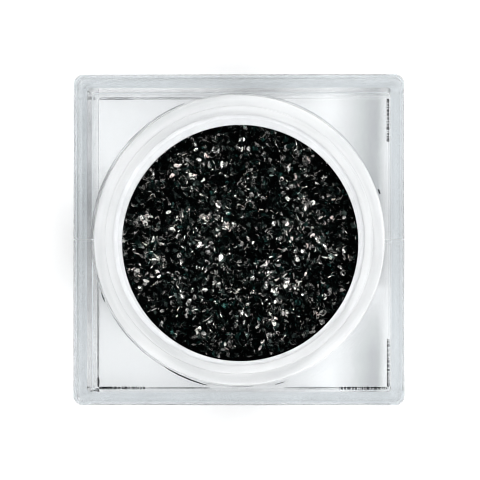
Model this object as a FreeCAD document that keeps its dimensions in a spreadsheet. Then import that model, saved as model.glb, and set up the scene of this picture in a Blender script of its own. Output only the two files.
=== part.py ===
import FreeCAD, Part

"""A square clear-plastic jar of loose glitter eyeshadow, closed by a square screw-on lid.

The jar stands on z = 0 with +Z up and the cup's axis on the Z axis.  The base is a clear square
shell, closed underneath by a glued-in plate, that holds a natural-plastic cup.  The cup's
threaded neck stands out of the shell's shoulder.  The lid is a clear square shell with a
threaded natural-plastic collar glued under its top.  The collar turns in at its top as a flat
web, and a punched sealing ring lies between that web and the cup's rim.  The ring's hole is a
little off its middle, and it frames the glitter.  The lid is modelled screwed home, with its
sides in line with the base's.
"""

import os

import Sketcher

MODEL = "glitter_jar"
PARTS_FOLDER = "parts"

# Every driving dimension, in millimetres, but for the threads' starts, which are in degrees.
DIMENSIONS = {
    "side": 38.0,  # overall width of base and lid
    "height": 20.0,  # overall height, closed
    "base_top": 11.0,  # height of the base shell's shoulder
    "lid_gap": 0.3,  # open joint between the base and the lid's skirt
    "wall": 1.5,  # side walls of both shells
    "deck": 1.6,  # lid's top and base's shoulder
    "corner_radius": 1.1,  # upright outer corners
    "cavity_corner": 0.4,  # upright inner corners
    "edge_round": 0.45,  # lid's top edge
    "rim_round": 0.2,  # edges beside the joint and under the base
    "glue_gap": 0.03,  # glue film between pieces that don't move on each other
    "plate": 1.6,  # bottom plate's thickness
    "plate_recess": 0.3,  # bottom plate's height above the ground
    "plate_chamfer": 0.25,
    "cup_radius": 14.05,  # inside of the cup
    "cup_wall": 0.7,
    "cup_floor": 1.0,
    "cup_base": 3.4,  # height of the cup's underside
    "cup_corner": 0.75,  # rounds under the pot and round its floor
    "flange_radius": 16.4,
    "flange": 0.6,
    "fill_level": 13.9,  # height of the glitter at the cup's wall
    "fill_crown": 0.25,  # how much higher the glitter is at its middle
    "fill_gap": 0.03,  # between the glitter and the cup
    "collar_radius": 16.8,  # outside of the lid's collar
    "collar_wall": 1.15,
    "collar_clearance": 0.35,  # between the collar and the cup's flange
    "collar_round": 0.2,
    "web": 0.3,  # thickness of the collar's flat top
    "web_inner": 14.5,
    "web_step": 0.06,  # the web's outer band is this much lower
    "web_step_radius": 15.4,
    "seal": 0.6,  # sealing ring's thickness
    "seal_gap": 0.05,  # above and below the sealing ring
    "seal_outer": 15.5,
    "seal_hole": 13.64,
    "seal_hole_right": 0.12,  # how far the hole is punched off the ring's middle, towards +X
    "seal_hole_down": 0.35,  # and towards -Y
    "lead": 4.0,  # rise in one turn
    "thread_root": 1.3,  # rib's width where it leaves the wall
    "thread_crest": 0.7,
    "thread_embed": 0.1,  # how far a rib starts inside its wall
    "neck_thread": 0.6,  # how far the neck's rib stands out
    "neck_thread_low": 12.9,  # height of the neck rib's lower end
    "neck_thread_rise": 3.3,
    "collar_thread": 0.65,  # how far the collar's rib stands in
    "collar_thread_low": 12.65,
    "collar_thread_rise": 3.8,
    "neck_thread_start": 0.0,  # angle of the neck rib's lower end about the Z axis
    "collar_thread_start": 108.0,
}

SHEET = "dims"

# Sizes that more than one piece works out from the sheet.
LID_LOW = "dims.base_top + dims.lid_gap"
LID_UNDERSIDE = "dims.height - dims.deck"
WEB_TOP = "dims.height - dims.deck - dims.glue_gap"
WEB_LOW = f"{WEB_TOP} - dims.web"
SEAL_LOW = f"{WEB_LOW} - dims.seal_gap - dims.seal"
CUP_RIM = f"{SEAL_LOW} - dims.seal_gap"
CUP_FLOOR = "dims.cup_base + dims.cup_floor"
NECK_RADIUS = "dims.cup_radius + dims.cup_wall"
CAVITY_SIDE = "dims.side - 2 * dims.wall"
CAVITY_HALF = "dims.side / 2 - dims.wall"


def make_sheet(doc):
    """Put every driving dimension in a spreadsheet under its own name."""
    sheet = doc.addObject("Spreadsheet::Sheet", SHEET)
    for row, (name, value) in enumerate(DIMENSIONS.items(), start=1):
        sheet.set(f"A{row}", name)
        sheet.set(f"B{row}", str(value))
        sheet.setAlias(f"B{row}", name)
    doc.recompute()
    return sheet


def origin_feature(body, role):
    """The body's own origin plane or axis that has this role."""
    return next(f for f in body.Origin.OriginFeatures if f.Role == role)


def add_feature(body, kind, name, sizes, **settings):
    """Add a PartDesign feature, bind its sizes to the sheet and recompute it."""
    feature = body.newObject(f"PartDesign::{kind}", f"{body.Name}_{name}")
    for key, value in settings.items():
        setattr(feature, key, value)
    for key, expression in sizes.items():
        feature.setExpression(key, expression)
    body.Document.recompute()
    return feature


def add_sketch(body, name, role, level=None, turn=None):
    """Add a sketch on one of the body's planes, raised to a level or turned about the Z axis."""
    sketch = body.newObject("Sketcher::SketchObject", f"{body.Name}_{name}")
    sketch.AttachmentSupport = [(origin_feature(body, role), "")]
    sketch.MapMode = "FlatFace"
    if level is not None:
        sketch.setExpression("AttachmentOffset.Base.z", level)
    if turn is not None:
        upright_in_sketch = FreeCAD.Vector(0, 1, 0)
        angle = body.Document.getObject(SHEET).evalExpression(turn)
        rotation = FreeCAD.Rotation(upright_in_sketch, angle)
        sketch.AttachmentOffset = FreeCAD.Placement(FreeCAD.Vector(), rotation)
    return sketch


def draw_outline(sketch, corners):
    """Draw a straight-sided outline.  Each corner is a pair of expressions, across and up."""
    sheet = sketch.Document.getObject(SHEET)
    spots = [tuple(sheet.evalExpression(e) for e in corner) for corner in corners]
    count = len(corners)
    for i, spot in enumerate(spots):
        start = FreeCAD.Vector(*spot, 0)
        end = FreeCAD.Vector(*spots[(i + 1) % count], 0)
        sketch.addGeometry(Part.LineSegment(start, end))
    for i in range(count):
        sketch.addConstraint(Sketcher.Constraint("Coincident", i, 2, (i + 1) % count, 1))
    for i, (corner, spot) in enumerate(zip(corners, spots)):
        for kind, expression, value in zip(("DistanceX", "DistanceY"), corner, spot):
            pin_corner(sketch, i, kind, expression, value)


def pin_corner(sketch, line, kind, expression, value):
    """Fix the start of a line across or up from the origin.  A zero is a point on an axis."""
    horizontal_axis = -1
    vertical_axis = -2
    if value == 0:
        axis = vertical_axis if kind == "DistanceX" else horizontal_axis
        sketch.addConstraint(Sketcher.Constraint("PointOnObject", line, 1, axis))
        return
    name = f"{kind}{line}"
    sketch.addConstraint(Sketcher.Constraint(kind, -1, 1, line, 1, value))
    sketch.renameConstraint(sketch.ConstraintCount - 1, name)
    sketch.setExpression(f"Constraints.{name}", expression)


def draw_rounded_square(sketch, side, radius):
    """Draw a square about the origin with rounded corners, from two expressions."""
    sheet = sketch.Document.getObject(SHEET)
    half = sheet.evalExpression(side) / 2
    round_size = sheet.evalExpression(radius)
    flat = half - round_size
    quarter = FreeCAD.Rotation(FreeCAD.Vector(0, 0, 1), 90)
    diagonal = round_size / 2**0.5
    start = FreeCAD.Vector(half, -flat, 0)
    end = FreeCAD.Vector(half, flat, 0)
    middle = FreeCAD.Vector(flat + diagonal, flat + diagonal, 0)
    for _ in range(4):
        next_start = quarter.multVec(start)
        sketch.addGeometry(Part.LineSegment(start, end))
        sketch.addGeometry(Part.Arc(end, middle, next_start))
        start = next_start
        end = quarter.multVec(end)
        middle = quarter.multVec(middle)
    for line in (0, 2, 4, 6):
        arc = line + 1
        following = (line + 2) % 8
        upright = line in (0, 4)
        sketch.addConstraint(Sketcher.Constraint("Vertical" if upright else "Horizontal", line))
        sketch.addConstraint(Sketcher.Constraint("Tangent", line, 2, arc, 1))
        sketch.addConstraint(Sketcher.Constraint("Tangent", arc, 2, following, 1))
        if arc > 1:
            sketch.addConstraint(Sketcher.Constraint("Equal", 1, arc))
    sketch.addConstraint(Sketcher.Constraint("Symmetric", 0, 1, 4, 1, -1, 1))
    sizes = (("width", "DistanceX", 4, 0), ("depth", "DistanceY", 6, 2))
    for name, kind, low, high in sizes:
        sketch.addConstraint(Sketcher.Constraint(kind, low, 1, high, 1, 2 * half))
        sketch.renameConstraint(sketch.ConstraintCount - 1, name)
        sketch.setExpression(f"Constraints.{name}", side)
    sketch.addConstraint(Sketcher.Constraint("Radius", 1, round_size))
    sketch.renameConstraint(sketch.ConstraintCount - 1, "corner")
    sketch.setExpression("Constraints.corner", radius)


def draw_circle(sketch, radius, aside=None):
    """Draw a circle about the origin, or aside from it by two lengths, towards +X and -Y."""
    sheet = sketch.Document.getObject(SHEET)
    value = sheet.evalExpression(radius)
    right, down = [sheet.evalExpression(length) for length in aside] if aside else (0, 0)
    centre = FreeCAD.Vector(right, -down, 0)
    sketch.addGeometry(Part.Circle(centre, FreeCAD.Vector(0, 0, 1), value))
    sketch.addConstraint(Sketcher.Constraint("Radius", 0, value))
    sketch.renameConstraint(sketch.ConstraintCount - 1, "radius")
    sketch.setExpression("Constraints.radius", radius)
    if aside is None:
        sketch.addConstraint(Sketcher.Constraint("Coincident", 0, 3, -1, 1))
        return
    sketch.addConstraint(Sketcher.Constraint("DistanceX", -1, 1, 0, 3, right))
    sketch.renameConstraint(sketch.ConstraintCount - 1, "right")
    sketch.setExpression("Constraints.right", aside[0])
    sketch.addConstraint(Sketcher.Constraint("DistanceY", 0, 3, -1, 1, down))
    sketch.renameConstraint(sketch.ConstraintCount - 1, "down")
    sketch.setExpression("Constraints.down", aside[1])


def pad_upwards(body, name, draw, low, high):
    """Pad between two heights, with the outline that draw puts in the sketch."""
    sketch = add_sketch(body, f"{name}_outline", "XY_Plane", level=low)
    draw(sketch)
    return add_feature(body, "Pad", name, {"Length": f"({high}) - ({low})"}, Profile=sketch)


def pad_square(body, name, side, radius, low, high):
    """Pad a rounded square between two heights."""
    return pad_upwards(
        body, name, lambda sketch: draw_rounded_square(sketch, side, radius), low, high
    )


def pocket_upwards(body, name, draw, low, depth):
    """Cut upwards from a height, with the outline that draw puts in the sketch."""
    sketch = add_sketch(body, f"{name}_outline", "XY_Plane", level=low)
    draw(sketch)
    before = body.Shape.Volume
    sizes = {"Length": depth}
    pocket = add_feature(body, "Pocket", name, sizes, Profile=sketch, Reversed=True)
    if not pocket.Shape.Volume < before:
        raise RuntimeError(f"{pocket.Name} cuts nothing")
    return pocket


def revolve(body, name, corners):
    """Turn a straight-sided outline about the Z axis."""
    sketch = add_sketch(body, f"{name}_outline", "XZ_Plane")
    draw_outline(sketch, corners)
    axis = (origin_feature(body, "Z_Axis"), [""])
    return add_feature(
        body, "Revolution", name, {}, Profile=sketch, ReferenceAxis=axis, Angle=360
    )


def edges_at(shape, heights, least_radius, most_radius, upright=False):
    """Names of the edges that lie at one of the heights, or are upright, and are this far out.

    How far out an edge is goes by its middle, measured from the Z axis.
    """
    found = []
    for index, edge in enumerate(shape.Edges, start=1):
        box = edge.BoundBox
        middle = edge.valueAt((edge.FirstParameter + edge.LastParameter) / 2)
        out = (middle.x**2 + middle.y**2) ** 0.5
        level = any(abs(box.ZMin - z) < 1e-6 and abs(box.ZMax - z) < 1e-6 for z in heights)
        if (box.ZLength > 1e-6 if upright else level) and least_radius <= out <= most_radius:
            found.append(f"Edge{index}")
    if not found:
        raise RuntimeError("no edge found to round")
    return found


def round_edges(body, name, base, radius, heights, least_radius, most_radius):
    """Round the edges of a feature at some heights, between two distances from the axis."""
    sheet = body.Document.getObject(SHEET)
    levels = [sheet.evalExpression(z) for z in heights]
    limits = [sheet.evalExpression(r) for r in (least_radius, most_radius)]
    names = edges_at(base.Shape, levels, *limits)
    return add_feature(body, "Fillet", name, {"Radius": radius}, Base=(base, names))


def add_thread(body, name, wall, crest, low, rise, start):
    """Add a helical rib that stands out of a wall, or into it, from the wall to the crest."""
    sketch = add_sketch(body, f"{name}_section", "XZ_Plane", turn=start)
    half_root = "dims.thread_root / 2"
    half_crest = "dims.thread_crest / 2"
    draw_outline(
        sketch,
        [
            (wall, f"{low} - {half_root}"),
            (crest, f"{low} - {half_crest}"),
            (crest, f"{low} + {half_crest}"),
            (wall, f"{low} + {half_root}"),
        ],
    )
    body.Document.recompute()
    before = body.Shape.Volume
    axis = (origin_feature(body, "Z_Axis"), [""])
    thread = add_feature(
        body,
        "AdditiveHelix",
        name,
        {"Pitch": "dims.lead", "Height": rise},
        Profile=sketch,
        ReferenceAxis=axis,
        Mode="pitch-height-angle",
    )
    if not thread.Shape.Volume > before:
        raise RuntimeError(f"{thread.Name} adds nothing")
    return thread


def make_base_shell(doc):
    """Clear square shell: four walls, a shoulder with a hole for the cup, open underneath."""
    body = doc.addObject("PartDesign::Body", "base_shell")
    block = pad_square(body, "block", "dims.side", "dims.corner_radius", "0", "dims.base_top")
    levels = ["0", "dims.base_top"]
    round_edges(body, "rims", block, "dims.rim_round", levels, CAVITY_HALF, "dims.side")
    pocket_upwards(
        body,
        "cavity",
        lambda sketch: draw_rounded_square(sketch, CAVITY_SIDE, "dims.cavity_corner"),
        "0",
        "dims.base_top - dims.deck",
    )
    pocket_upwards(
        body,
        "cup_hole",
        lambda sketch: draw_circle(sketch, f"{NECK_RADIUS} + dims.glue_gap"),
        "0",
        "dims.base_top",
    )


def make_base_plate(doc):
    """Clear plate glued into the base shell's open underside."""
    body = doc.addObject("PartDesign::Body", "base_plate")
    side = f"{CAVITY_SIDE} - 2 * dims.glue_gap"
    top = "dims.plate_recess + dims.plate"
    slab = pad_square(body, "slab", side, "dims.cavity_corner", "dims.plate_recess", top)
    level = doc.getObject(SHEET).evalExpression(top)
    names = edges_at(slab.Shape, [level], 0, DIMENSIONS["side"])
    add_feature(body, "Chamfer", "edge", {"Size": "dims.plate_chamfer"}, Base=(slab, names))


def make_inner_cup(doc):
    """Natural-plastic cup: a pot under the shoulder, a flange on it and a threaded neck."""
    body = doc.addObject("PartDesign::Body", "inner_cup")
    flange_low = "dims.base_top + dims.glue_gap"
    flange_high = "dims.base_top + dims.flange"
    turned = revolve(
        body,
        "pot",
        [
            ("0", "dims.cup_base"),
            (NECK_RADIUS, "dims.cup_base"),
            (NECK_RADIUS, flange_low),
            ("dims.flange_radius", flange_low),
            ("dims.flange_radius", flange_high),
            (NECK_RADIUS, flange_high),
            (NECK_RADIUS, CUP_RIM),
            ("dims.cup_radius", CUP_RIM),
            ("dims.cup_radius", CUP_FLOOR),
            ("0", CUP_FLOOR),
        ],
    )
    most = f"{NECK_RADIUS} + dims.glue_gap"
    bottom = round_edges(
        body, "corners", turned, "dims.cup_corner", ["dims.cup_base", CUP_FLOOR], "1", most
    )
    rim = round_edges(body, "rim", bottom, "dims.rim_round", [CUP_RIM], "1", most)
    flange_edge = round_edges(
        body, "flange_edge", rim, "dims.rim_round", [flange_high], most, "dims.side"
    )
    body.Tip = flange_edge
    add_thread(
        body,
        "thread",
        f"{NECK_RADIUS} - dims.thread_embed",
        f"{NECK_RADIUS} + dims.neck_thread",
        "dims.neck_thread_low",
        "dims.neck_thread_rise",
        "dims.neck_thread_start",
    )


def make_glitter_fill(doc):
    """Loose glitter: it fills the cup to a slightly crowned level."""
    body = doc.addObject("PartDesign::Body", "glitter_fill")
    low = "dims.cup_base + dims.cup_floor + dims.fill_gap"
    edge = "dims.cup_radius - dims.fill_gap"
    revolve(
        body,
        "heap",
        [
            ("0", low),
            (f"{edge} - dims.cup_corner", low),
            (edge, f"{low} + dims.cup_corner"),
            (edge, "dims.fill_level"),
            (f"{edge} / 2", "dims.fill_level + 0.75 * dims.fill_crown"),
            ("0", "dims.fill_level + dims.fill_crown"),
        ],
    )


def make_lid_shell(doc):
    """Clear square lid: a top and four walls, open underneath."""
    body = doc.addObject("PartDesign::Body", "lid_shell")
    block = pad_square(body, "block", "dims.side", "dims.corner_radius", LID_LOW, "dims.height")
    top = round_edges(
        body, "top_edge", block, "dims.edge_round", ["dims.height"], CAVITY_HALF, "dims.side"
    )
    round_edges(body, "skirt_edge", top, "dims.rim_round", [LID_LOW], CAVITY_HALF, "dims.side")
    pocket_upwards(
        body,
        "cavity",
        lambda sketch: draw_rounded_square(sketch, CAVITY_SIDE, "dims.cavity_corner"),
        LID_LOW,
        f"{LID_UNDERSIDE} - ({LID_LOW})",
    )


def make_lid_collar(doc):
    """Natural-plastic collar with an inward thread and a flat web, glued under the lid's top."""
    body = doc.addObject("PartDesign::Body", "lid_collar")
    inner = "dims.collar_radius - dims.collar_wall"
    low = "dims.base_top + dims.flange + dims.collar_clearance"
    band = f"{WEB_TOP} - dims.web_step"
    turned = revolve(
        body,
        "ring",
        [
            (inner, low),
            ("dims.collar_radius", low),
            ("dims.collar_radius", band),
            ("dims.web_step_radius + dims.web_step", band),
            ("dims.web_step_radius", WEB_TOP),
            ("dims.web_inner", WEB_TOP),
            ("dims.web_inner", WEB_LOW),
            (inner, WEB_LOW),
        ],
    )
    outside = f"{inner} + dims.collar_wall / 2"
    edge = round_edges(
        body, "edges", turned, "dims.collar_round", [low, band], outside, "dims.side"
    )
    body.Tip = edge
    add_thread(
        body,
        "thread",
        f"{inner} + dims.thread_embed",
        f"{inner} - dims.collar_thread",
        "dims.collar_thread_low",
        "dims.collar_thread_rise",
        "dims.collar_thread_start",
    )


def make_seal_ring(doc):
    """Soft punched ring between the cup's rim and the collar's web."""
    body = doc.addObject("PartDesign::Body", "seal_ring")
    high = f"{SEAL_LOW} + dims.seal"
    pad_upwards(
        body, "disc", lambda sketch: draw_circle(sketch, "dims.seal_outer"), SEAL_LOW, high
    )
    pocket_upwards(
        body,
        "hole",
        lambda sketch: draw_circle(
            sketch, "dims.seal_hole", ("dims.seal_hole_right", "dims.seal_hole_down")
        ),
        SEAL_LOW,
        "dims.seal",
    )


def check(doc):
    """Stop if any object failed, or a piece isn't one valid solid."""
    for item in doc.Objects:
        if "Invalid" in item.State or "Error" in item.State:
            raise RuntimeError(f"{item.Name} failed: {item.State}")
        if item.TypeId == "Sketcher::SketchObject" and item.FullyConstrained is False:
            raise RuntimeError(f"{item.Name} isn't fully constrained")
    for body in pieces(doc):
        shape = body.Shape
        if shape.isNull() or not shape.isValid() or len(shape.Solids) != 1:
            raise RuntimeError(f"{body.Name} isn't one valid solid")


def pieces(doc):
    """The jar's physical pieces."""
    return doc.findObjects("PartDesign::Body")


def main():
    doc = FreeCAD.newDocument(MODEL)
    make_sheet(doc)
    for make in (
        make_base_shell,
        make_base_plate,
        make_inner_cup,
        make_glitter_fill,
        make_lid_shell,
        make_lid_collar,
        make_seal_ring,
    ):
        make(doc)
    doc.recompute()
    check(doc)
    os.makedirs(PARTS_FOLDER, exist_ok=True)
    for body in pieces(doc):
        body.Label = body.Name
        body.Shape.exportStep(os.path.join(PARTS_FOLDER, f"{body.Label}.step"))
        box = body.Shape.BoundBox
        print(f"{body.Label}: {body.Shape.Volume:.1f} mm3, z {box.ZMin:.2f} to {box.ZMax:.2f}")


main()
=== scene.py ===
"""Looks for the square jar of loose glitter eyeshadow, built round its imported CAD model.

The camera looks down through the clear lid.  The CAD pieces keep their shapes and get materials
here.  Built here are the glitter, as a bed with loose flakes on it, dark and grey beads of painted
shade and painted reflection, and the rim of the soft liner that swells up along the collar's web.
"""

import math

import bmesh
import bpy
import numpy as np
from mathutils import Matrix, Vector


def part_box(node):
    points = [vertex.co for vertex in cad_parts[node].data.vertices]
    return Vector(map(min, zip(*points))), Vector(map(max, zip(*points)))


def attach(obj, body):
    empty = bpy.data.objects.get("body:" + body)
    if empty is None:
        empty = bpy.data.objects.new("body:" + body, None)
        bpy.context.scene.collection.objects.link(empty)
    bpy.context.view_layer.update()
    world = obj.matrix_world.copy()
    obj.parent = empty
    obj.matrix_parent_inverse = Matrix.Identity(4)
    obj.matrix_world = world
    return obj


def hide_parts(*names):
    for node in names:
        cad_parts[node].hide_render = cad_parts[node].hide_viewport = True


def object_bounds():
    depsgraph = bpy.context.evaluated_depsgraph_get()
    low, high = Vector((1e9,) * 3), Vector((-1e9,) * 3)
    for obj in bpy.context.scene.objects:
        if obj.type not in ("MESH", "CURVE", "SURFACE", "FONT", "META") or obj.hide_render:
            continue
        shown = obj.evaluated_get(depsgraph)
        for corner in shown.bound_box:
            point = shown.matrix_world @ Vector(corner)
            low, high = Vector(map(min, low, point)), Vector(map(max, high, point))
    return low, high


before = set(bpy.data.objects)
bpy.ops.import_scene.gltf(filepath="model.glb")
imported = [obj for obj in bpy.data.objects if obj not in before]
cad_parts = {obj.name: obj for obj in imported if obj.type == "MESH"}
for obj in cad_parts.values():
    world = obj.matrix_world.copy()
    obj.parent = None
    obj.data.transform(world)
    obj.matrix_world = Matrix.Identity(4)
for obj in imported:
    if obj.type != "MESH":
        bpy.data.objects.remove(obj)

MM = 0.001
CAD_BOUNDS = [list(corner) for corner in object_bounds()]
HALF_WIDTH = CAD_BOUNDS[1][0]

# Where the camera stands over the lid's top, and how much of that level it takes in.
CAMERA_ABOVE_LID = 325 * MM
CAMERA_ASIDE = (10.1 * MM, -8.0 * MM)
AIM_ASIDE = (0.17 * MM, -0.06 * MM)
VIEW_WIDTH = 55.0 * MM
SENSOR = 36.0

# Soft lights: each one's name, quarter turns from the corner at +X +Y, and watts.
SOFTBOXES = (
    ("softbox_back_right", 0, 1.00),
    ("softbox_back_left", 1, 0.62),
    ("softbox_front_left", 2, 0.72),
    ("softbox_front_right", 3, 0.96),
)
SOFTBOX_SIZE = 0.18
SOFTBOX_AWAY = 0.5
SOFTBOX_RISE = math.radians(50)

# The surround's brightness from level at 0 to straight up at 1, its strength at -X and away from
# there, and how far the floor reaches.
SURROUND = ((0.0, 1.0), (0.26, 1.0), (0.34, 0.22), (0.89, 0.22), (0.94, 0.002))
SURROUND_STRENGTHS = (1.0, 1.6)
FLOOR_REACH = 1.5

# The clear plastic: its tint and the deeper tint of its flow waves, the plate's tint and the grey
# of the painted shade on it, the grey of painted shade on the lid's walls, and how strongly each
# moulding swallows light.
CLEAR_TINTS = ((0.987, 0.99, 0.991), (0.975, 0.98, 0.983))
PLATE_TINT_AND_PAINTED_SHADE = ((0.985, 0.977, 0.975), (0.65, 0.655, 0.655))
PAINTED_WALL_SHADE = (0.51, 0.52, 0.53)
SWALLOWING_TINT = (0.49, 0.53, 0.555)
BASE_DENSITY = 106
PLATE_DENSITY = 60
LID_DENSITY = 10

# Marks on the clear walls: where the walls start, the haze over the lid's edge, the band of painted
# shade down the walls' inner half, how wide such a mark's border is, and the parting line.
WALL_INSIDE = 16.7 * MM
EDGE_HAZE = 0.25
EDGE_HAZE_FROM = 17.3 * MM
EDGE_HAZE_WHOLE = 17.8 * MM
SHADE_BAND_IN = 16.9 * MM
SHADE_BAND_OUT = 18.1 * MM
BORDER = 0.2 * MM
PARTING_WIDTH = 0.1 * MM
PARTING_ROUGHNESS = 0.7

# The natural plastic, the foam liner and the beads of painted shade and reflection, each from its
# darker to its lighter tint.
MILKY_TINTS = ((0.385, 0.39, 0.395), (0.475, 0.48, 0.485))
FOAM_TINTS = ((0.395, 0.40, 0.408), (0.445, 0.45, 0.459))
# The swell's foam: the liner's foam painted lighter, painted light against the shade at the web's
# edge.
FOAM_PAINTED_LIGHTER_TINTS = ((0.435, 0.44, 0.45), (0.495, 0.50, 0.51))
# The dark of the painted shade in the seam and of the painted reflection round the collar.
SHADE_AND_REFLECTION_TINTS = ((0.001, 0.001, 0.001), (0.02, 0.022, 0.024))
# The grey of the painted shade round the collar.
OUTLINE_SHADE_TINTS = ((0.20, 0.207, 0.21), (0.50, 0.51, 0.52))
BED_TINTS = ((0.0001, 0.0001, 0.0001), (0.0008, 0.0015, 0.0015))

# The glitter's flakes: how many there are of each colour and what share of them lies in clumps,
# then each colour's darker and lighter tint, metal, roughness and shine.
FLAKES = {
    "black": (8200, 0.0),
    "graphite": (3100, 0.1),
    "teal": (1500, 0.0),
    "silver": (2600, 0.2),
    # Cream and rose flakes: pale flakes bright under any light, painted glints of flakes that catch
    # the light.
    "cream_painted_glint": (260, 0.7),
    "rose_painted_glint": (150, 0.7),
}
FLAKE_LOOKS = {
    "black": ((0.0, 0.0001, 0.0001), (0.0003, 0.0006, 0.0005), 0.0, 0.1, 0.005),
    "graphite": ((0.003, 0.010, 0.009), (0.10, 0.13, 0.12), 0.8, 0.1, 0.2),
    "teal": ((0.001, 0.008, 0.007), (0.01, 0.04, 0.035), 0.8, 0.15, 0.2),
    "silver": ((0.28, 0.277, 0.268), (0.86, 0.825, 0.80), 0.85, 0.08, 0.5),
    # The cream and rose flakes' pale tints are painted glints.
    "cream_painted_glint": ((0.85, 0.82, 0.76), (0.97, 0.95, 0.92), 0.2, 0.3, 0.5),
    "rose_painted_glint": ((0.97, 0.78, 0.75), (1.0, 0.92, 0.90), 0.2, 0.3, 0.5),
}
FLAKE_SEED = 11

# How many clumps are tried, how far out their middles may lie and how far each one spreads, as
# shares of the cup's radius.
CLUMPS = 80
CLUMP_REACH = 0.95
CLUMP_SPREADS = (0.015, 0.055)

# A flake's size across its corners, its width as a share of that, its thickness, its curl as a
# share of its size, its steepest tilt in radians, how deep in the bed it may lie, how far over the
# CAD fill the flakes' level is, and the gap they leave to the cup's wall.
FLAKE_SIZES = (0.45 * MM, 0.86 * MM)
FLAKE_WIDTHS = (0.18, 0.95)
FLAKE_THICKNESS = 0.03 * MM
FLAKE_CURL = 0.45
FLAKE_STEEPEST = 1.5
FLAKE_DEPTH = 0.75 * MM
FLAKE_LEVEL = 0.1 * MM
WALL_GAP = 0.06 * MM

# The bed under the flakes: how far its top lies below the CAD fill's, its bottom corner, how finely
# its top is divided, and the waves of its uneven top.  Each wave is (height in mm, radians a metre
# in X and in Y, and its phase at the middle).
BED_DROP = 0.55 * MM
BED_CORNER = 0.75 * MM
BED_RINGS = 56
BED_SPOKES = 160
HUMMOCKS = (
    (0.10, 900, 500, 0.3),
    (0.08, -650, 1100, 1.9),
    (0.07, 1500, 1250, 4.1),
    (0.05, -2100, 900, 2.6),
)

# How a painted bead is drawn: seed, steps along it, how far it wanders, its sides, how its ends
# taper, and how long the beads of a broken line and their gaps are, in mm.
BEAD_SEED = 5
BEAD_STEP = 0.3 * MM
BEAD_WANDER = 0.008 * MM
BEAD_SIDES = 8
BEAD_TAPER = 0.35
BEAD_THINNEST = 0.15
BEAD_LENGTHS = (0.12, 0.6)
BEAD_GAPS = (0.02, 0.07)

# Where the painted beads lie: the seam's line outward from the plate's edge, then how far below the
# plate's top and below the collar's top.
SEAM_OUT = -0.055 * MM
SEAM_DROP = 0.1 * MM
REFLECTION_DROP = 0.09 * MM
OUTLINE_DROP = 0.16 * MM

# Dark beads of painted shade along the bottom plate's seam, where its narrow gap lies in shadow.
# Each is (quarter turns from the +X side, where it starts and ends along that side, in mm from the
# side's middle, anticlockwise, and its half thickness in mm, negative where the line is broken into
# beads).
PAINTED_SEAM_SHADE = (
    (0, -17.3, -11.6, -0.075),
    (0, 12.2, 17.4, -0.065),
    (1, 12.8, 17.4, 0.05),
    (1, 5.0, 13.4, 0.035),
    (2, 3.8, 17.3, 0.035),
    (2, 16.2, 17.4, 0.085),
    (3, -17.4, -15.8, 0.09),
    (3, -16.2, -11.8, -0.085),
    (3, -11.9, -4.0, 0.035),
    (3, 5.0, 12.0, 0.035),
    (3, 11.6, 17.3, -0.085),
)

# Beads round the lid's collar.  Each is (start and end in degrees, how far out it lies at its start
# and at its end, and its half thickness, in mm).
# Dark flecks of painted reflection, where the black glitter shows dark through the collar's edge.
PAINTED_COLLAR_REFLECTIONS = (
    (239.5, 257.5, 16.93, 17.12, 0.08),
    (201, 205, 17.0, 17.0, 0.06),
    (17.8, 20.0, 17.06, 17.06, 0.1),
    (284, 288, 17.16, 17.16, 0.045),
)
# Grey arcs of painted shade just outside the collar, all round but at the right and lower right.
PAINTED_COLLAR_OUTLINE = (
    (28, 104, 16.9, 16.9, 0.05),
    (112, 204, 16.95, 16.95, 0.13),
    (206, 240, 16.93, 16.93, 0.08),
    (256, 276, 16.9, 16.9, 0.06),
)

# Where the soft liner swells up along the web's edge: its foot, the web's edge, its height, and
# how far its underside sinks into the liner.
SWELL_FOOT = 14.0 * MM
SWELL_EDGE = 14.52 * MM
SWELL_RISE = 0.3 * MM
SWELL_SINK = 0.1 * MM
SWELL_STEPS = 7
SWELL_SPOKES = 240


# ---------------------------------------------------------------- material nodes


def add_ramp(tree, factor, stops):
    """A colour ramp.  Each stop is (place, colour), and a colour may be one grey value."""
    node = tree.nodes.new("ShaderNodeValToRGB")
    elements = node.color_ramp.elements
    while len(elements) < len(stops):
        elements.new(0.5)
    for element, (at, colour) in zip(elements, stops):
        element.position = at
        grey = isinstance(colour, (int, float))
        element.color = (colour, colour, colour, 1) if grey else (*colour, 1)
    tree.links.new(factor, node.inputs["Fac"])
    return node.outputs["Color"]


def add_spread(tree, value, low, high, start, end):
    """Start to end as a value goes from low to high, and no further."""
    node = tree.nodes.new("ShaderNodeMapRange")
    for name, number in zip(("From Min", "From Max", "To Min", "To Max"), (low, high, start, end)):
        node.inputs[name].default_value = number
    tree.links.new(value, node.inputs["Value"])
    return node.outputs["Result"]


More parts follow.
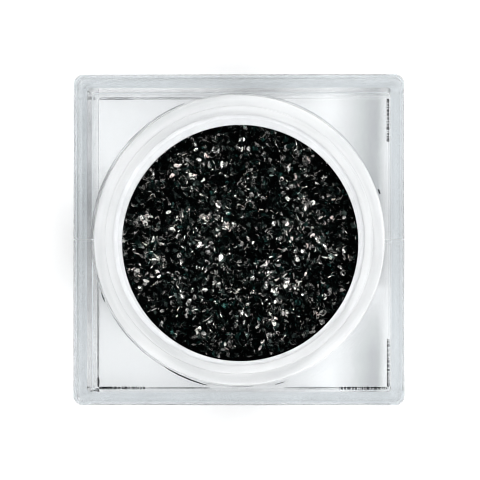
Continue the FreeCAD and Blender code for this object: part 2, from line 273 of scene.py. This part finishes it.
class Nodes:
    """A material's node tree, with short ways to add what the materials here need."""

    def __init__(self, name):
        self.material = bpy.data.materials.new(name)
        self.material.use_nodes = True
        self.tree = self.material.node_tree
        self.shader = self.tree.nodes["Principled BSDF"]
        self.place = self.add("ShaderNodeTexCoord").outputs["Object"]

    def add(self, kind, **settings):
        node = self.tree.nodes.new(kind)
        for key, value in settings.items():
            setattr(node, key, value)
        return node

    def link(self, source, target):
        self.tree.links.new(source, target)

    def noise(self, scale, detail=3.0, roughness=0.5, stretch=None):
        node = self.add("ShaderNodeTexNoise")
        node.inputs["Scale"].default_value = scale
        node.inputs["Detail"].default_value = detail
        node.inputs["Roughness"].default_value = roughness
        place = self.place
        if stretch is not None:
            mapping = self.add("ShaderNodeMapping")
            mapping.inputs["Scale"].default_value = stretch
            self.link(place, mapping.inputs["Vector"])
            place = mapping.outputs["Vector"]
        self.link(place, node.inputs["Vector"])
        return node.outputs["Fac"]

    def rings(self, scale, closeness):
        """Noise drawn out round the Z axis into faint rings, like the flow in a round moulding."""
        place = self.split(self.place)
        squares = [self.times(place[axis], place[axis]) for axis in "XY"]
        radius = self.maths("SQRT", self.maths("ADD", *squares))
        joined = self.add("ShaderNodeCombineXYZ")
        parts = (place["X"], place["Y"], self.times(radius, closeness))
        for part, axis in zip(parts, "XYZ"):
            self.link(part, joined.inputs[axis])
        node = self.add("ShaderNodeTexNoise")
        node.inputs["Scale"].default_value = scale
        self.link(joined.outputs["Vector"], node.inputs["Vector"])
        return node.outputs["Fac"]

    def split(self, vector):
        """Sockets of a vector's X, Y and Z."""
        node = self.add("ShaderNodeSeparateXYZ")
        self.link(vector, node.inputs["Vector"])
        return node.outputs

    def maths(self, operation, *values):
        """A math node's result on sockets or plain numbers."""
        node = self.add("ShaderNodeMath", operation=operation)
        for value, socket in zip(values, node.inputs):
            if isinstance(value, (int, float)):
                socket.default_value = value
            else:
                self.link(value, socket)
        return node.outputs["Value"]

    def times(self, one, other):
        return self.maths("MULTIPLY", one, other)

    def higher(self, one, other):
        return self.maths("MAXIMUM", one, other)

    def size_of(self, value):
        """A value without its sign."""
        return self.maths("ABSOLUTE", value)

    def spread(self, value, low, high, start=0.0, end=1.0):
        return add_spread(self.tree, value, low, high, start, end)

    def ramp(self, factor, stops):
        return add_ramp(self.tree, factor, stops)

    def across_jar(self, axis):
        """0 to 1 from the jar's one side to the other along an axis."""
        return self.spread(self.split(self.place)[axis], -HALF_WIDTH, HALF_WIDTH)

    def outward(self):
        """How far out a point is, measured square to the nearest side."""
        place = self.split(self.place)
        return self.higher(self.size_of(place["X"]), self.size_of(place["Y"]))

    def top_edge(self, inside, outside, amount):
        """Amount on faces that look up and lie by the sides, and 0 elsewhere."""
        near_side = self.spread(self.outward(), inside, outside)
        normal = self.add("ShaderNodeNewGeometry").outputs["Normal"]
        up = self.spread(self.split(normal)["Z"], 0.15, 0.4, 0.0, amount)
        return self.times(near_side, up)

    def painted_wall_shade(self):
        """Painted shade on the walls: most on -X, less on +Y towards +X and at both ends of -Y."""
        place = self.split(self.place)
        outward = self.outward()
        starts = self.spread(outward, SHADE_BAND_IN, SHADE_BAND_IN + BORDER / 2)
        ends = self.spread(outward, SHADE_BAND_OUT - BORDER, SHADE_BAND_OUT, 1.0, 0.0)
        on_left = self.spread(place["X"], -WALL_INSIDE - BORDER, -WALL_INSIDE, 1.0, 0.0)
        up_left = [(0.395, 0.45), (0.71, 1.0), (0.86, 0.85), (0.95, 0.35)]
        left = self.times(on_left, self.ramp(self.across_jar("Y"), up_left))
        on_back = self.spread(place["Y"], WALL_INSIDE, WALL_INSIDE + BORDER)
        back = self.times(on_back, self.spread(place["X"], -5 * MM, -2 * MM, 0.0, 0.4))
        on_front = self.spread(place["Y"], -WALL_INSIDE - BORDER, -WALL_INSIDE, 1.0, 0.0)
        aside = self.size_of(place["X"])
        front = self.times(on_front, self.spread(aside, 5 * MM, 9 * MM, 0.0, 0.22))
        band = self.times(self.times(starts, ends), self.higher(left, back))
        return self.higher(band, front)

    def parting_line(self, inside, width, amount):
        """Amount on a narrow line across the middle of the two X sides."""
        place = self.split(self.place)
        near_side = self.spread(self.size_of(place["X"]), inside, inside + 0.05 * MM)
        on_line = self.spread(self.size_of(place["Y"]), 0.3 * width, 0.5 * width, amount, 0.0)
        return self.times(near_side, on_line)

    def bump(self, height, strength, distance):
        node = self.add("ShaderNodeBump")
        node.inputs["Strength"].default_value = strength
        node.inputs["Distance"].default_value = distance
        self.link(height, node.inputs["Height"])
        return node.outputs["Normal"]

    def set(self, **values):
        for key, value in values.items():
            self.shader.inputs[key.replace("_", " ")].default_value = value

    def feed(self, **sources):
        for key, source in sources.items():
            self.link(source, self.shader.inputs[key.replace("_", " ")])

    def darken_inside(self, colour, density):
        """The solid swallows a little light on the way through it."""
        volume = self.add("ShaderNodeVolumeAbsorption")
        volume.inputs["Color"].default_value = (*colour, 1)
        volume.inputs["Density"].default_value = density
        output = self.tree.nodes["Material Output"]
        self.link(volume.outputs["Volume"], output.inputs["Volume"])

    def let_light_through(self):
        """Light reaches what is behind this surface, as it does through clear plastic."""
        output = self.tree.nodes["Material Output"]
        mix = self.add("ShaderNodeMixShader")
        self.link(self.add("ShaderNodeLightPath").outputs["Is Shadow Ray"], mix.inputs[0])
        self.link(self.shader.outputs["BSDF"], mix.inputs[1])
        clear = self.add("ShaderNodeBsdfTransparent")
        clear.inputs["Color"].default_value = (1, 1, 1, 1)
        self.link(clear.outputs["BSDF"], mix.inputs[2])
        self.link(mix.outputs["Shader"], output.inputs["Surface"])


def clear_tint(n):
    """The clear plastic's tint, a little deeper in its flow waves."""
    tint, deep_tint = CLEAR_TINTS
    return n.ramp(n.noise(160, 2), [(0.35, deep_tint), (0.65, tint)])


def lid_tint_with_painted_shade(n):
    """The clear tint with the walls greyed by painted shade.

    Where nothing is greyed, half the noise plus 0.5 falls on the clear stops, as in clear_tint.
    """
    tint, deep_tint = CLEAR_TINTS
    cleared = n.maths("MULTIPLY_ADD", n.painted_wall_shade(), -0.5, 0.5)
    factor = n.maths("MULTIPLY_ADD", n.noise(160, 2), 0.5, cleared)
    return n.ramp(factor, [(0.15, PAINTED_WALL_SHADE), (0.675, deep_tint), (0.825, tint)])


def plate_tint_with_painted_shade(n):
    """The bottom plate's tint, greyed by painted shade in a streaky band near +X, with one clear
    gap.
    """
    streaks = n.noise(150, 2, stretch=(1, 0.15, 1))
    shifted = n.maths("MULTIPLY_ADD", streaks, 0.06, n.across_jar("X"))
    across = n.ramp(shifted, [(0.82, 0.0), (0.935, 1.0), (0.955, 1.0), (0.985, 0.0)])
    along = n.ramp(n.across_jar("Y"), [(0.14, 1.0), (0.26, 0.6), (0.35, 0.0), (0.44, 1.0)])
    # The grey is painted shade.
    tint, grey = PLATE_TINT_AND_PAINTED_SHADE
    return n.ramp(n.times(across, along), [(0.0, tint), (1.0, grey)])


def clear_plastic(name, tinting, density, edge_haze=0.0):
    """Polished clear acrylic: faint flow waves, a very slight haze and a cool tint.

    Its own volume darkens it, so that the long way down a wall looks bluer than the thin top.
    With edge_haze, the top is less polished over the outer walls.
    """
    n = Nodes(name)
    n.set(Transmission_Weight=1.0, IOR=1.49)
    haze = n.ramp(n.noise(900, 4, 0.6), [(0.64, 0.0), (0.85, 0.05)])
    if edge_haze:
        haze = n.higher(haze, n.top_edge(EDGE_HAZE_FROM, EDGE_HAZE_WHOLE, edge_haze))
    haze = n.higher(haze, n.parting_line(WALL_INSIDE, PARTING_WIDTH, PARTING_ROUGHNESS))
    waves = n.bump(n.noise(140, 1), 0.06, 0.05 * MM)
    n.feed(Base_Color=tinting(n), Roughness=haze, Normal=waves)
    n.darken_inside(SWALLOWING_TINT, density)
    n.let_light_through()
    return n.material


def natural_plastic(name):
    """Milky moulded polypropylene that glows with the light inside it."""
    n = Nodes(name)
    n.set(
        Subsurface_Weight=0.7,
        Subsurface_Radius=(1.0, 1.0, 1.0),
        Subsurface_Scale=1.2 * MM,
        IOR=1.49,
    )
    low, high = MILKY_TINTS
    colour = n.ramp(n.rings(70, 12), [(0.35, low), (0.6, high)])
    gloss = n.ramp(n.noise(1500, 3), [(0.3, 0.32), (0.7, 0.46)])
    grain = n.bump(n.noise(6000, 2), 0.1, 0.01 * MM)
    n.feed(Base_Color=colour, Roughness=gloss, Normal=grain)
    return n.material


def white_foam(name, tints):
    """Soft closed-cell foam with fine pores."""
    n = Nodes(name)
    cells = n.add("ShaderNodeTexVoronoi")
    cells.inputs["Scale"].default_value = 9000
    n.link(n.place, cells.inputs["Vector"])
    low, high = tints
    colour = n.ramp(n.noise(700, 3), [(0.3, low), (0.7, high)])
    pores = n.bump(cells.outputs["Distance"], 0.25, 0.02 * MM)
    n.set(Roughness=0.75)
    n.feed(Base_Color=colour, Normal=pores)
    return n.material


def flake_material(name, dark, light, metallic, gloss, shine):
    """Cut film: each flake differs a little in shade and shine."""
    n = Nodes(f"flake_{name}")
    chance = n.add("ShaderNodeNewGeometry").outputs["Random Per Island"]
    colour = n.ramp(chance, [(0.0, dark), (1.0, light)])
    rough = n.ramp(n.noise(2500, 2), [(0.3, gloss), (0.7, gloss + 0.15)])
    n.set(Metallic=metallic, IOR=1.5, Specular_IOR_Level=shine)
    n.feed(Base_Color=colour, Roughness=rough)
    return n.material


def bed_material(name):
    """The dark mass of glitter under the top flakes."""
    n = Nodes(name)
    dark, light = BED_TINTS
    colour = n.ramp(n.noise(1800, 3), [(0.35, dark), (0.7, light)])
    rough = n.ramp(n.noise(2500, 2), [(0.3, 0.35), (0.7, 0.6)])
    relief = n.bump(n.noise(2600, 3), 0.8, 0.1 * MM)
    n.set(Specular_IOR_Level=0.02)
    n.feed(Base_Color=colour, Roughness=rough, Normal=relief)
    return n.material


def painted_bead_material(name, tints, scale):
    """Beads of painted shade and painted reflection, in a noisy tint from darker to lighter."""
    n = Nodes(name)
    n.set(Roughness=0.6, Specular_IOR_Level=0.05)
    dark, light = tints
    n.feed(Base_Color=n.ramp(n.noise(scale, 4, 0.6), [(0.35, dark), (0.7, light)]))
    return n.material


def paper_floor(name):
    """Plain white sweep."""
    n = Nodes(name)
    colour = n.ramp(n.noise(40, 3), [(0.3, 0.89), (0.7, 0.91)])
    n.set(Roughness=0.9)
    n.feed(Base_Color=colour)
    return n.material


# ---------------------------------------------------------------- pieces


def finished(name, vertices, faces, material, smooth=False):
    """Make a mesh object and put it in the scene."""
    mesh = bpy.data.meshes.new(name)
    mesh.from_pydata(vertices, [], faces)
    mesh.update()
    mesh.materials.append(material)
    if smooth:
        mesh.polygons.foreach_set("use_smooth", [True] * len(mesh.polygons))
    piece = bpy.data.objects.new(name, mesh)
    bpy.context.scene.collection.objects.link(piece)
    return piece


def hummocks(x, y):
    """Height of the glitter's uneven top over its level, from smooth waves."""
    return MM * sum(a * np.sin(p * x + q * y + s) for a, p, q, s in HUMMOCKS)


def flake_bed(low, high):
    """Closed body of glitter that fills the cup, under the loose top flakes."""
    radius = (high[0] - low[0]) / 2
    rings, spokes = BED_RINGS, BED_SPOKES
    level = high[2] - BED_DROP
    vertices = [(0, 0, level + float(hummocks(0, 0)))]
    faces = []
    for i in range(1, rings + 1):
        out = radius * i / rings
        for k in range(spokes):
            angle = 2 * math.pi * k / spokes
            x, y = out * math.cos(angle), out * math.sin(angle)
            vertices.append((x, y, level + float(hummocks(x, y))))
    for k in range(spokes):
        following = (k + 1) % spokes
        faces.append((0, 1 + k, 1 + following))
        for i in range(1, rings):
            inner, outer = 1 + (i - 1) * spokes, 1 + i * spokes
            faces.append((inner + k, outer + k, outer + following, inner + following))
    edge = 1 + (rings - 1) * spokes
    for out, height in ((radius, low[2] + BED_CORNER), (radius - BED_CORNER, low[2])):
        below = len(vertices)
        for k in range(spokes):
            angle = 2 * math.pi * k / spokes
            vertices.append((out * math.cos(angle), out * math.sin(angle), height))
        for k in range(spokes):
            following = (k + 1) % spokes
            faces.append((edge + k, below + k, below + following, edge + following))
        edge = below
    faces.append(tuple(edge + k for k in reversed(range(spokes))))
    return finished("glitter_bed", vertices, faces, bed_material("bed"), smooth=True)


def gathered(count, share, clumps, random):
    """Places in a unit circle: spread evenly, with a share of them in clumps (x, y, spread)."""
    out = np.sqrt(random.uniform(0, 1, count))
    around = random.uniform(0, 2 * math.pi, count)
    places = np.stack([out * np.cos(around), out * np.sin(around)], 1)
    chosen = clumps[random.integers(0, len(clumps), count)]
    near = chosen[:, :2] + chosen[:, 2:] * random.normal(0, 1, (count, 2))
    clumped = random.uniform(0, 1, count) < share
    clumped &= np.linalg.norm(near, axis=1) < 1
    places[clumped] = near[clumped]
    return places


def flakes(name, places, cup_radius, level, material, random):
    """Loose hexagonal flakes lying in the top of the bed, each a thin closed curled prism."""
    count = len(places)
    sizes = random.uniform(*FLAKE_SIZES, count) / 2
    tilts = random.uniform(0, 1, count) ** 0.5 * FLAKE_STEEPEST
    leans = random.uniform(0, 2 * math.pi, count)
    normals = np.stack(
        [np.sin(tilts) * np.cos(leans), np.sin(tilts) * np.sin(leans), np.cos(tilts)], 1
    )
    sides = np.cross(normals, random.normal(0, 1, (count, 3)))
    sides /= np.linalg.norm(sides, axis=1)[:, None]
    others = np.cross(normals, sides)
    x, y = (cup_radius - WALL_GAP - sizes) * places.T
    z = level + hummocks(x, y) - FLAKE_DEPTH * random.uniform(0, 1, count) ** 1.5
    centres = np.stack([x, y, z], 1)
    curls = FLAKE_CURL * sizes * random.uniform(0, 1, count) ** 1.5
    bends = random.uniform(0, math.pi, count)
    widths = random.uniform(*FLAKE_WIDTHS, count)
    corners = []
    for half in (-FLAKE_THICKNESS / 2, FLAKE_THICKNESS / 2):
        corners.append(centres + half * normals)
        for k in range(6):
            angle = math.pi * k / 3
            spoke = math.cos(angle) * sides + math.sin(angle) * widths[:, None] * others
            lift = half + curls * np.cos(angle - bends) ** 2
            corners.append(centres + sizes[:, None] * spoke + lift[:, None] * normals)
    vertices = np.stack(corners, 1).reshape(-1, 3)
    top = 7
    flake = []
    for k in range(6):
        here, following = 1 + k, 1 + (k + 1) % 6
        flake.append((0, following, here))
        flake.append((top, top + here, top + following))
        flake.append((here, following, top + following, top + here))
    faces = [tuple(2 * top * i + v for v in face) for i in range(count) for face in flake]
    return finished(f"flakes_{name}", vertices.tolist(), faces, material)


def strand(points, radius):
    """Vertices and faces of a closed thin round bead along points, tapered at its ends."""
    sides = BEAD_SIDES
    vertices, faces = [], []
    last = len(points) - 1
    for i, point in enumerate(points):
        along = (points[min(i + 1, last)] - points[max(i - 1, 0)]).normalized()
        across = along.cross(Vector((0, 0, 1))).normalized()
        thickness = radius * max(BEAD_THINNEST, math.sin(math.pi * i / last)) ** BEAD_TAPER
        for k in range(sides):
            angle = 2 * math.pi * k / sides
            offset = math.cos(angle) * across + math.sin(angle) * Vector((0, 0, 1))
            vertices.append(point + thickness * offset)
    for i in range(last):
        for k in range(sides):
            a, b = sides * i + k, sides * i + (k + 1) % sides
            faces.append((a, b, b + sides, a + sides))
    faces.append(tuple(reversed(range(sides))))
    faces.append(tuple(sides * last + k for k in range(sides)))
    return vertices, faces


def bead_piece(name, lines, material, random):
    """One piece of several painted beads.  Each line is (its middle's points, half thickness)."""
    vertices, faces = [], []
    for points, radius in lines:
        uneven = random.normal(0, BEAD_WANDER, (len(points), 2))
        points = [p + Vector((*shift, 0)) for p, shift in zip(points, uneven)]
        more, rings = strand(points, radius)
        faces += [tuple(len(vertices) + v for v in face) for face in rings]
        vertices += more
    return finished(name, vertices, faces, material, smooth=True)


def stretches(start, end, half_thickness, random):
    """The whole stretch, or where the thickness is negative short beads with gaps between."""
    if half_thickness > 0:
        return [(start, end, half_thickness)]
    beads = []
    while start < end:
        bead = random.uniform(*BEAD_LENGTHS)
        gap = random.uniform(*BEAD_GAPS)
        stop = min(start + bead, end)
        beads.append((start, stop, -half_thickness * random.uniform(0.7, 1.25)))
        start = stop + gap
    return beads


def seam_shade_lines(out, level, random):
    """Middles of the dark lines of painted shade along the bottom plate's seam."""
    lines = []
    for quarter, first, last, half_thickness in PAINTED_SEAM_SHADE:
        turn = Matrix.Rotation(quarter * math.pi / 2, 3, "Z")
        for start, end, thickness in stretches(first, last, half_thickness, random):
            count = max(4, round((end - start) * MM / BEAD_STEP))
            along = np.linspace(start * MM, end * MM, count)
            lines.append(([turn @ Vector((out, a, level)) for a in along], thickness * MM))
    return lines


def arc_lines(arcs, level):
    """Middles of painted lines that run round the jar's axis."""
    lines = []
    for start, end, first, last, thickness in arcs:
        count = max(4, round(math.radians(end - start) * first * MM / BEAD_STEP))
        around = np.radians(np.linspace(start, end, count))
        out = np.linspace(first, last, count) * MM
        points = [Vector((r * math.cos(a), r * math.sin(a), level)) for r, a in zip(out, around)]
        lines.append((points, thickness * MM))
    return lines


def make_painted_beads():
    """Beads of painted shade at the bottom plate's seam, and of painted reflection and shade round
    the collar.
    """
    dark = painted_bead_material("painted_shade_and_reflection", SHADE_AND_REFLECTION_TINTS, 2600)
    pale = painted_bead_material("painted_outline_shade", OUTLINE_SHADE_TINTS, 220)
    random = np.random.default_rng(BEAD_SEED)
    plate_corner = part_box("base_plate")[1]
    collar_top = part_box("lid_collar")[1][2]
    seam = seam_shade_lines(plate_corner[0] + SEAM_OUT, plate_corner[2] - SEAM_DROP, random)
    reflections = arc_lines(PAINTED_COLLAR_REFLECTIONS, collar_top - REFLECTION_DROP)
    outline_shade = arc_lines(PAINTED_COLLAR_OUTLINE, collar_top - OUTLINE_DROP)
    pieces = (
        ("painted_seam_shade", seam, dark, "base", "clear_base"),
        ("painted_collar_reflections", reflections, dark, "lid", "clear_lid"),
        ("painted_collar_outline", outline_shade, pale, "lid", "clear_lid"),
    )
    for name, lines, material, body, slot in pieces:
        piece = bead_piece(name, lines, material, random)
        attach(piece, body)


def make_swell():
    """The rim of soft foam that swells up where the web's edge presses the liner, painted lighter.
    """
    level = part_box("seal_ring")[1][2]
    width = SWELL_EDGE - SWELL_FOOT
    steps = np.linspace(0, 1, SWELL_STEPS)
    profile = [(SWELL_FOOT + width * t, level + SWELL_RISE * t**2) for t in steps]
    profile += [(SWELL_EDGE, level - SWELL_SINK), (SWELL_FOOT, level - SWELL_SINK)]
    count = len(profile)
    vertices, faces = [], []
    for k in range(SWELL_SPOKES):
        angle = 2 * math.pi * k / SWELL_SPOKES
        vertices += [(r * math.cos(angle), r * math.sin(angle), z) for r, z in profile]
        here, beside = count * k, count * ((k + 1) % SWELL_SPOKES)
        for i in range(count):
            following = (i + 1) % count
            faces.append((here + i, here + following, beside + following, beside + i))
    # Painted lighter than the liner's foam, as painted light in the corner under the web's edge.
    material = white_foam("foam_painted_lighter", FOAM_PAINTED_LIGHTER_TINTS)
    swell = finished("liner_swell", vertices, faces, material, smooth=True)
    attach(swell, "seal")


def make_glitter():
    """Fill the cup with a dark bed and loose flakes of each colour."""
    low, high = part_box("glitter_fill")
    bed = flake_bed(low, high)
    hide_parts("glitter_fill")
    random = np.random.default_rng(FLAKE_SEED)
    pieces = [bed]
    cup_radius = (high[0] - low[0]) / 2
    least = (-CLUMP_REACH, -CLUMP_REACH, CLUMP_SPREADS[0])
    most = (CLUMP_REACH, CLUMP_REACH, CLUMP_SPREADS[1])
    clumps = random.uniform(least, most, (CLUMPS, 3))
    clumps = clumps[np.linalg.norm(clumps[:, :2], axis=1) < 0.97]
    for name, (count, share) in FLAKES.items():
        material = flake_material(name, *FLAKE_LOOKS[name])
        places = gathered(count, share, clumps, random)
        pieces.append(flakes(name, places, cup_radius, high[2] + FLAKE_LEVEL, material, random))
    for piece in pieces:
        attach(piece, "base")


def dress_cad():
    """Give the CAD pieces their materials."""
    milky = natural_plastic("milky_plastic")
    looks = {
        "base_shell": clear_plastic("clear_base", clear_tint, BASE_DENSITY),
        "base_plate": clear_plastic("clear_plate", plate_tint_with_painted_shade, PLATE_DENSITY),
        "lid_shell": clear_plastic("clear_lid", lid_tint_with_painted_shade, LID_DENSITY, EDGE_HAZE),
        "inner_cup": milky,
        "lid_collar": milky,
        "seal_ring": white_foam("foam", FOAM_TINTS),
    }
    for name, material in looks.items():
        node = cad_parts[name]
        node.data.materials.clear()
        node.data.materials.append(material)


# ---------------------------------------------------------------- studio


def make_floor():
    """Large pale floor under the jar."""
    grid = bmesh.new()
    bmesh.ops.create_grid(grid, x_segments=4, y_segments=4, size=FLOOR_REACH)
    mesh = bpy.data.meshes.new("floor")
    grid.to_mesh(mesh)
    grid.free()
    mesh.materials.append(paper_floor("sweep"))
    floor = bpy.data.objects.new("floor", mesh)
    bpy.context.scene.collection.objects.link(floor)


def make_lights():
    """Four square soft lights that stand round the jar, over its corners, and face it."""
    for name, quarter, watts in SOFTBOXES:
        data = bpy.data.lights.new(name, "AREA")
        data.shape = "SQUARE"
        data.size = SOFTBOX_SIZE
        data.energy = watts
        light = bpy.data.objects.new(name, data)
        around = math.radians(45 + 90 * quarter)
        level = SOFTBOX_AWAY * math.cos(SOFTBOX_RISE)
        height = SOFTBOX_AWAY * math.sin(SOFTBOX_RISE)
        light.location = (level * math.cos(around), level * math.sin(around), height)
        light.rotation_euler = (-light.location).to_track_quat("-Z", "Y").to_euler()
        bpy.context.scene.collection.objects.link(light)


def make_world():
    """Soft studio surround: bright low down, grey higher up, dark overhead and dimmer at -X."""
    world = bpy.data.worlds.new("studio")
    world.use_nodes = True
    tree = world.node_tree
    place = tree.nodes.new("ShaderNodeTexCoord").outputs["Generated"]
    split = tree.nodes.new("ShaderNodeSeparateXYZ")
    tree.links.new(place, split.inputs["Vector"])
    colour = add_ramp(tree, split.outputs["Z"], SURROUND)
    strength = add_spread(tree, split.outputs["X"], -1.0, -0.5, *SURROUND_STRENGTHS)
    background = tree.nodes["Background"]
    tree.links.new(colour, background.inputs["Color"])
    tree.links.new(strength, background.inputs["Strength"])
    bpy.context.scene.world = world


def make_camera():
    """Camera over the lid, a little to its lower right, aimed at the lid's middle."""
    lid_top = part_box("lid_shell")[1][2]
    data = bpy.data.cameras.new("camera")
    data.sensor_width = SENSOR
    data.lens = SENSOR * CAMERA_ABOVE_LID / VIEW_WIDTH
    data.clip_start = 0.01
    camera = bpy.data.objects.new("camera", data)
    place = Vector((*CAMERA_ASIDE, lid_top + CAMERA_ABOVE_LID))
    back = (place - Vector((*AIM_ASIDE, lid_top))).normalized()
    right = Vector((0, 1, 0)).cross(back).normalized()
    up = back.cross(right)
    turn = Matrix((right, up, back)).transposed()
    camera.matrix_world = Matrix.Translation(place) @ turn.to_4x4()
    bpy.context.scene.collection.objects.link(camera)
    bpy.context.scene.camera = camera


make_camera()
dress_cad()
make_glitter()
make_painted_beads()
make_swell()
make_floor()
make_world()
make_lights()

scene = bpy.context.scene
scene.view_settings.view_transform = "Standard"
scene.cycles.filter_width = 1.0
scene.cycles.max_bounces = 24
scene.cycles.transmission_bounces = 24
scene.cycles.transparent_max_bounces = 16
